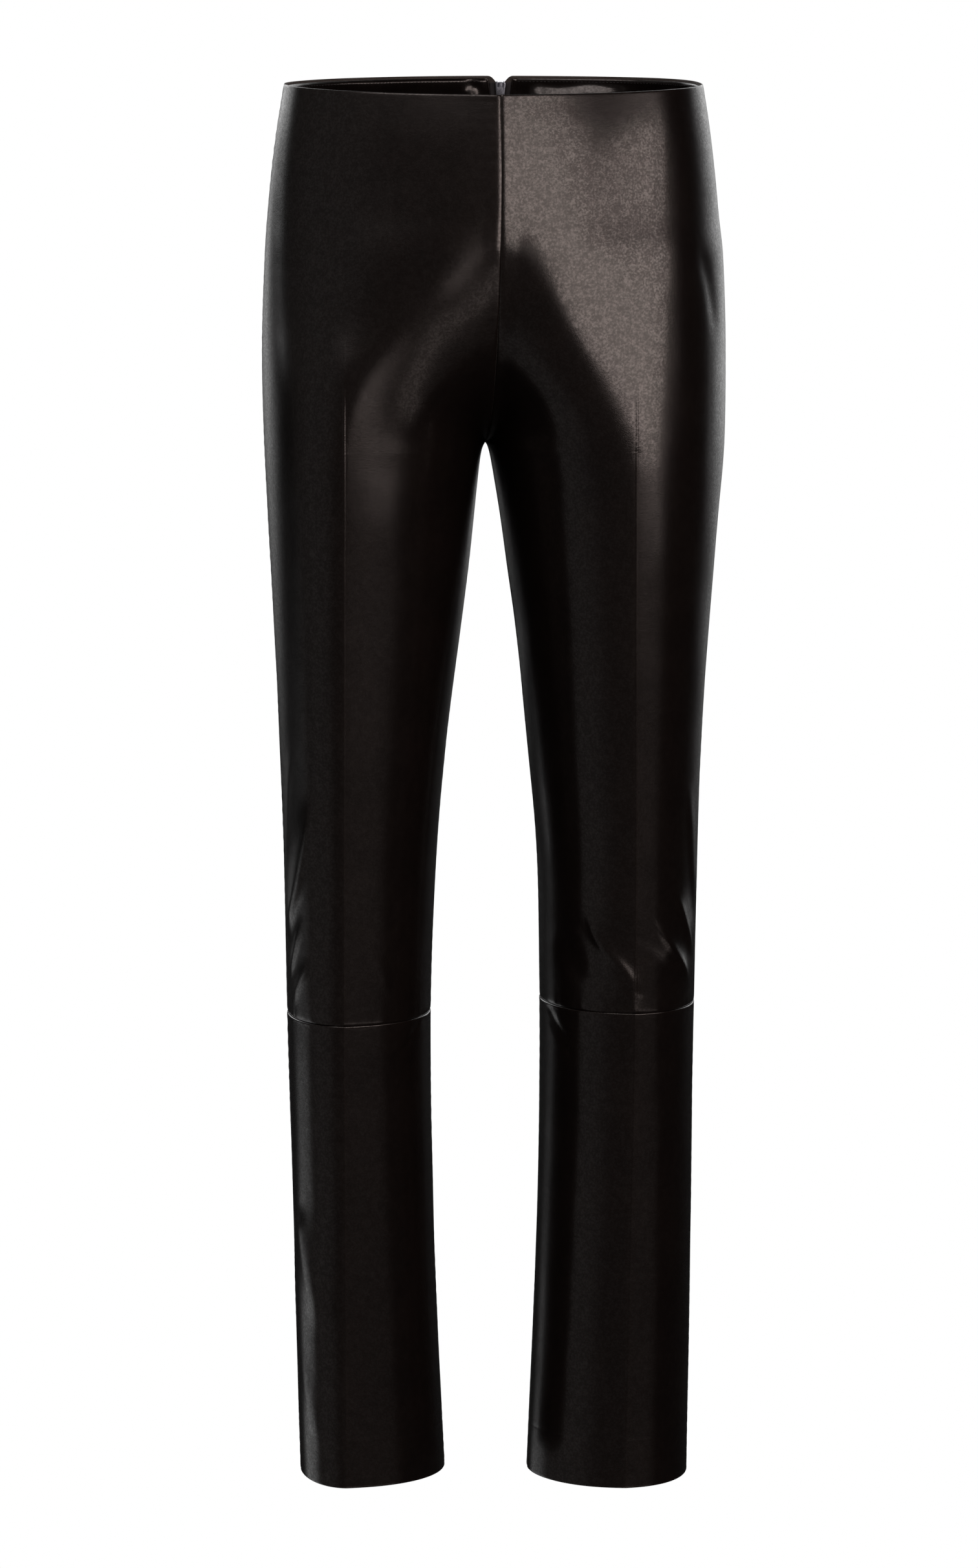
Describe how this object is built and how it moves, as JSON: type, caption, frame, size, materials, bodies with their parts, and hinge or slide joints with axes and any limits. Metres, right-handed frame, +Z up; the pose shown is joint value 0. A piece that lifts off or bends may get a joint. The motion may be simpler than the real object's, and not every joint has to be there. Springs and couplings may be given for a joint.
{
  "type": "leather trousers",
  "caption": "Black leather trousers, straight cut, filled out and hollow, with a centre front seam, pressed creases, knee seams and a concealed centre back zip.",
  "frame": {"origin": "middle of the waist opening, where the wearer's waist holds the trousers", "axes": "+Z up towards the waist opening, the front faces -Y, +X is the wearer's left"},
  "size_m": [0.325, 0.232, 0.9916],
  "materials": {
    "leather": "smooth black leather with a soft gloss",
    "zip_tape": "woven black tape",
    "zip_coil": "black plastic coil",
    "zip_metal": "bare metal, softly polished"
  },
  "bodies": {
    "trousers": {"front_upper_right": "leather", "front_lower_right": "leather", "back_upper_right": "leather", "back_lower_right": "leather", "front_upper_left": "leather", "front_lower_left": "leather", "back_upper_left": "leather", "back_lower_left": "leather", "facing_back_right": "leather", "zip_tape_right": "zip_tape", "zip_coil_right": "zip_coil", "facing_back_left": "leather", "zip_tape_left": "zip_tape", "zip_coil_left": "zip_coil", "zip_slider": "zip_metal"},
    "pull_tab": {"zip_pull": "zip_metal"}
  },
  "joints": [
    {"name": "pull_tab_swing", "type": "hinge", "parent": "trousers", "child": "pull_tab", "pos_m": [0.01249, 0.10031, -0.00308], "axis": [1, 0, 0], "range_deg": [0, 150]}
  ]
}
